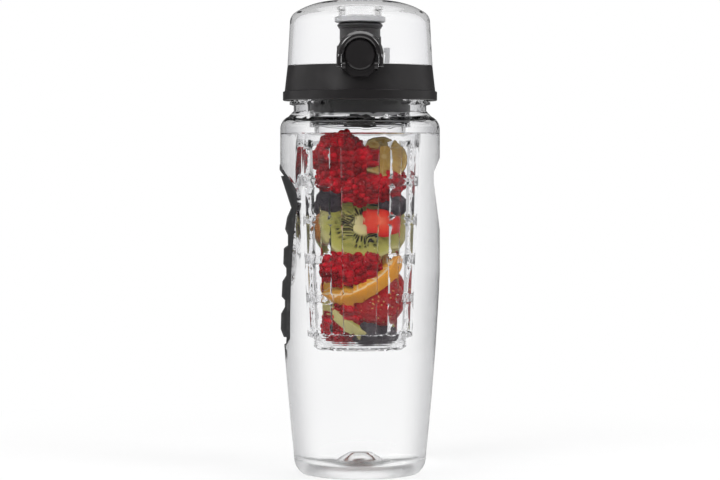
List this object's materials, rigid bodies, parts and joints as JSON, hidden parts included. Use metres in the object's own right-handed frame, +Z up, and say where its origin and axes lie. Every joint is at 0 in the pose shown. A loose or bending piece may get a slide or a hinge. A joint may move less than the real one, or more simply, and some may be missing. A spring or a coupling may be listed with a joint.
{
  "type": "fruit infuser water bottle",
  "caption": "Clear drinking bottle with a slotted infuser basket hung from a screw lid, a hinged clear cover with push button latch and folding lock ring, and a rubber side grip",
  "frame": {"origin": "on the floor plane under the centre of the bottle's base", "axes": "+Z up along the bottle, -Y is the latch side that faces the viewer, the grip is on -X, the cover's hinge is on +Y"},
  "size_m": [0.0904, 0.0972, 0.267],
  "materials": {
    "clear_plastic": "clear moulded plastic, smooth and glossy",
    "black_plastic": "black moulded plastic, satin to gloss",
    "grip_rubber": "soft black rubber, fine matt texture",
    "seal_rubber": "black seal rubber, smooth",
    "silicone": "translucent silicone, smooth and soft",
    "steel": "bright drawn stainless wire and pins"
  },
  "bodies": {
    "bottle": {"bottle_body": "clear_plastic", "grip_base": "grip_rubber", "grip_pad": "grip_rubber"},
    "gasket": {"neck_gasket": "silicone"},
    "spout_seal": {"spout_ring": "seal_rubber"},
    "lid": {"lid_body": "black_plastic", "lid_insert": "black_plastic", "infuser_seal": "silicone", "spout": "black_plastic", "vent_valve": "silicone", "hinge_pin": "steel", "hinge_spring": "steel", "button_spring": "steel"},
    "flip_cover": {"cover": "clear_plastic", "cover_seal": "silicone"},
    "button": {"latch_button": "black_plastic", "button_clip": "steel"},
    "lock": {"lock_ring": "black_plastic", "lock_pin_left": "steel", "lock_pin_right": "steel"},
    "basket": {"infuser_basket": "clear_plastic"}
  },
  "joints": [
    {"name": "lid_lift_off", "type": "slide", "parent": "bottle", "child": "gasket", "axis": [0, 0, 1], "range_m": [0, 0.165]},
    {"name": "thread_rise", "type": "slide", "parent": "gasket", "child": "spout_seal", "axis": [0, 0, 1], "range_m": [0, 0.00751]},
    {"name": "lid_twist", "type": "hinge", "parent": "spout_seal", "child": "lid", "pos_m": [0, 0, 0.2171], "axis": [0, 0, 1], "range_deg": [0, 540]},
    {"name": "cover_hinge", "type": "hinge", "parent": "lid", "child": "flip_cover", "pos_m": [0, 0.0454, 0.2315], "axis": [-1, 0, 0], "range_deg": [0, 120]},
    {"name": "button_press", "type": "slide", "parent": "lid", "child": "button", "axis": [0, 1, 0], "range_m": [0, 0.0022], "stiffness_N_per_m": 300, "springref_m": -0.001, "deforming": ["button_spring"]},
    {"name": "lock_flip", "type": "hinge", "parent": "lid", "child": "lock", "pos_m": [0, -0.0466, 0.2286], "axis": [1, 0, 0], "range_deg": [0, 180]},
    {"name": "basket_pull", "type": "slide", "parent": "lid", "child": "basket", "axis": [0, 0, -1], "range_m": [0, 0.045]}
  ],
  "couplings": [
    {"joint": "thread_rise", "follows": "lid_twist", "m_per_rad": 0.00079577}
  ]
}
